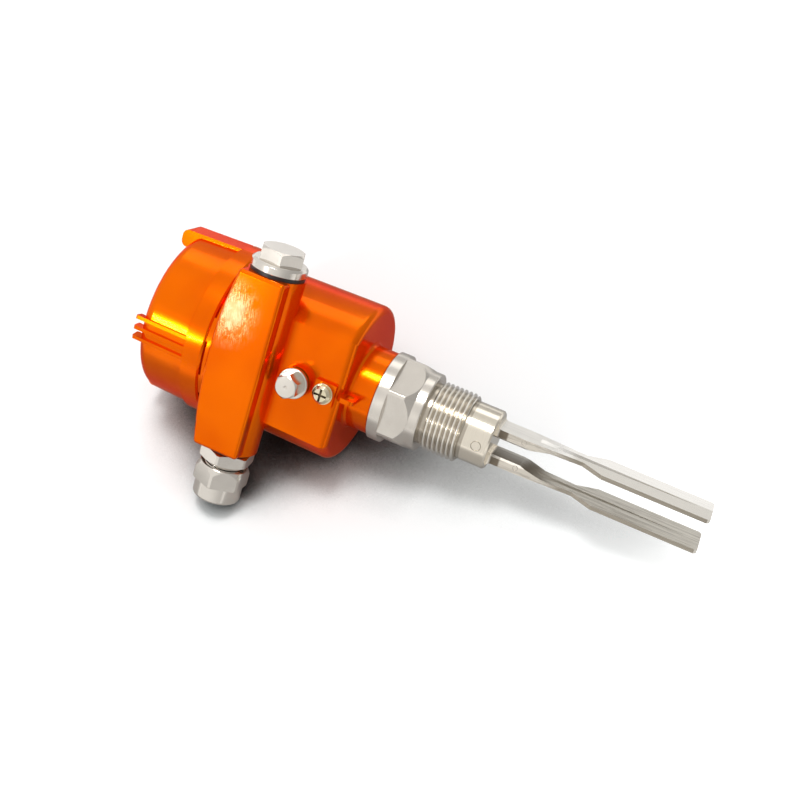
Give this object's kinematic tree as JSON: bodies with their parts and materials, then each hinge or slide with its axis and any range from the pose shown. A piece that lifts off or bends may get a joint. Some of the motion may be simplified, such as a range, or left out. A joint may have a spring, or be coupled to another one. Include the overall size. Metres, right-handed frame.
{
  "type": "tuning fork level switch",
  "caption": "Vibrating tuning fork level switch: steel fork and threaded hexagon connection under an orange cast housing with screw cover, cable gland and blanking plug.",
  "frame": {"origin": "centre of the sealing face under the hexagon, where the process thread starts, on the sensor's axis", "axes": "+Z along the sensor's axis from the fork to the cover, +X towards the blanking plug, -X towards the cable gland, -Y towards the front flat with the vent plug and the ground screw"},
  "size_m": [0.1249, 0.0837, 0.2727],
  "materials": {
    "orange_paint": "gloss",
    "stainless": "satin",
    "nickel_plated_brass": "polished",
    "zinc_steel": "satin",
    "black_rubber": "matte",
    "black_plastic": "matte",
    "grey_plastic": "satin",
    "green_plastic": "satin",
    "white_plastic": "satin",
    "blue_plastic": "satin",
    "led_lens": "gloss",
    "board_green": "satin",
    "insulation_ceramic": "matte",
    "piezo_ceramic": "matte",
    "contact_brass": "satin",
    "tinned_wire": "satin"
  },
  "bodies": {
    "sensor": {"housing": "orange_paint", "process_connection": "stainless", "neck_seal": "black_rubber", "fork": "stainless", "blanking_plug": "nickel_plated_brass", "blanking_plug_seal": "black_rubber", "gland_body": "nickel_plated_brass", "gland_seal": "black_rubber", "gland_grommet": "black_rubber", "gland_claw": "black_plastic", "vent_plug": "stainless", "vent_seal": "black_rubber", "ground_screw": "zinc_steel", "ground_washer": "zinc_steel", "module_case": "black_plastic", "circuit_board": "board_green", "module_lid": "grey_plastic", "module_screws": "zinc_steel", "mode_switch_base": "black_plastic", "sensitivity_pot_base": "blue_plastic", "status_leds": "led_lens", "terminal_block": "green_plastic", "terminal_screws": "zinc_steel", "lower_insulator": "insulation_ceramic", "piezo_drive_disc": "piezo_ceramic", "middle_electrode": "contact_brass", "piezo_sense_disc": "piezo_ceramic", "upper_electrode": "contact_brass", "upper_insulator": "insulation_ceramic", "stack_stud": "stainless", "stack_nut": "stainless", "sensor_leads": "tinned_wire"},
    "cover_ring": {"cover_seal": "black_rubber"},
    "cover": {"cover": "orange_paint"},
    "gland_ring": {"gland_slip_ring": "nickel_plated_brass"},
    "gland_nut": {"gland_cap_nut": "nickel_plated_brass"},
    "switch_knob": {"mode_switch": "white_plastic"},
    "pot_rotor": {"sensitivity_pot": "white_plastic"}
  },
  "joints": [
    {"name": "cover_lift", "type": "slide", "parent": "sensor", "child": "cover_ring", "axis": [0, 0, 1], "range_m": [0, 0.008]},
    {"name": "cover_turn", "type": "hinge", "parent": "cover_ring", "child": "cover", "pos_m": [0, 0, 0.0994], "axis": [0, 0, 1], "range_deg": [0, 1440]},
    {"name": "gland_nut_travel", "type": "slide", "parent": "sensor", "child": "gland_ring", "axis": [-1, 0, 0], "range_m": [0, 0.009]},
    {"name": "gland_nut_turn", "type": "hinge", "parent": "gland_ring", "child": "gland_nut", "pos_m": [-0.05765, -0.0271, 0.0802], "axis": [-1, 0, 0], "range_deg": [0, 2160]},
    {"name": "mode_switch_slide", "type": "slide", "parent": "sensor", "child": "switch_knob", "axis": [1, 0, 0], "range_m": [0, 0.002]},
    {"name": "sensitivity_turn", "type": "hinge", "parent": "sensor", "child": "pot_rotor", "pos_m": [0.006, -0.007, 0.0703], "axis": [0, 0, 1], "range_deg": [-135, 135]}
  ],
  "couplings": [
    {"joint": "cover_lift", "follows": "cover_turn", "m_per_rad": 0.00031831},
    {"joint": "gland_nut_travel", "follows": "gland_nut_turn", "m_per_rad": 0.00023873}
  ]
}
